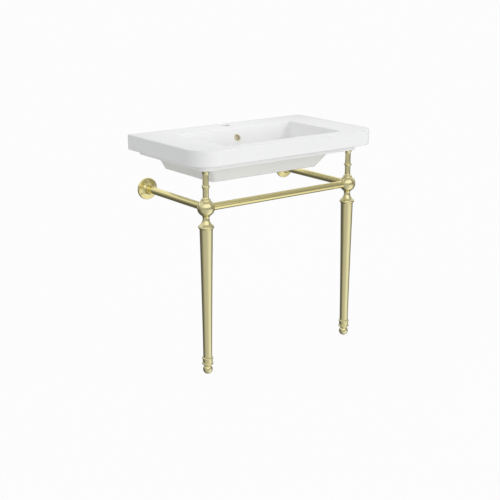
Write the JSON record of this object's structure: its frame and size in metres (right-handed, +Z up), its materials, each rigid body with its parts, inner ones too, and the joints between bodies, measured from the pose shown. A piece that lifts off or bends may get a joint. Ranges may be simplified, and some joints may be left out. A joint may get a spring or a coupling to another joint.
{
  "type": "console sink with legs",
  "caption": "Wide ceramic console basin with a slab rim and tapered trough on a turned brass stand: two front legs, a front rail and two side rails to wall flanges.",
  "frame": {"origin": "on the floor, in the middle of the width and of the depth", "axes": "+X to the right of a user who faces the basin, -Y towards the user, +Y into the wall, +Z up"},
  "size_m": [0.8, 0.457, 0.8134],
  "materials": {
    "glazed_basin": "white gloss glaze",
    "overflow_brass": "satin",
    "stand_brass": "brushed, pale gold",
    "rod_steel": "zinc plated",
    "gasket_rubber": "matt",
    "glide_nylon": "matt"
  },
  "bodies": {
    "stand_and_basin": {"basin": "glazed_basin", "overflow_ring": "overflow_brass", "overflow_gasket": "gasket_rubber", "leg_foot_left": "stand_brass", "leg_tube_left": "stand_brass", "leg_cap_left": "stand_brass", "post_base_left": "stand_brass", "lower_post_left": "stand_brass", "post_bead_left": "stand_brass", "upper_post_left": "stand_brass", "top_cup_left": "stand_brass", "ball_joint_left": "stand_brass", "side_rail_left": "stand_brass", "wall_flange_left": "stand_brass", "cup_rubber_left": "gasket_rubber", "leg_rod_left": "rod_steel", "post_rod_left": "rod_steel", "leg_foot_right": "stand_brass", "leg_tube_right": "stand_brass", "leg_cap_right": "stand_brass", "post_base_right": "stand_brass", "lower_post_right": "stand_brass", "post_bead_right": "stand_brass", "upper_post_right": "stand_brass", "top_cup_right": "stand_brass", "ball_joint_right": "stand_brass", "side_rail_right": "stand_brass", "wall_flange_right": "stand_brass", "cup_rubber_right": "gasket_rubber", "leg_rod_right": "rod_steel", "post_rod_right": "rod_steel", "front_rail": "stand_brass", "rail_plugs": "stand_brass", "rail_studs": "rod_steel", "grub_screws": "rod_steel"},
    "foot_left": {"levelling_foot_left": "stand_brass", "foot_glide_left": "glide_nylon"},
    "foot_right": {"levelling_foot_right": "stand_brass", "foot_glide_right": "glide_nylon"}
  },
  "joints": [
    {"name": "foot_left_screw_out", "type": "slide", "parent": "stand_and_basin", "child": "foot_left", "axis": [0, 0, -1], "range_m": [0, 0.012]},
    {"name": "foot_right_screw_out", "type": "slide", "parent": "stand_and_basin", "child": "foot_right", "axis": [0, 0, -1], "range_m": [0, 0.012]}
  ]
}
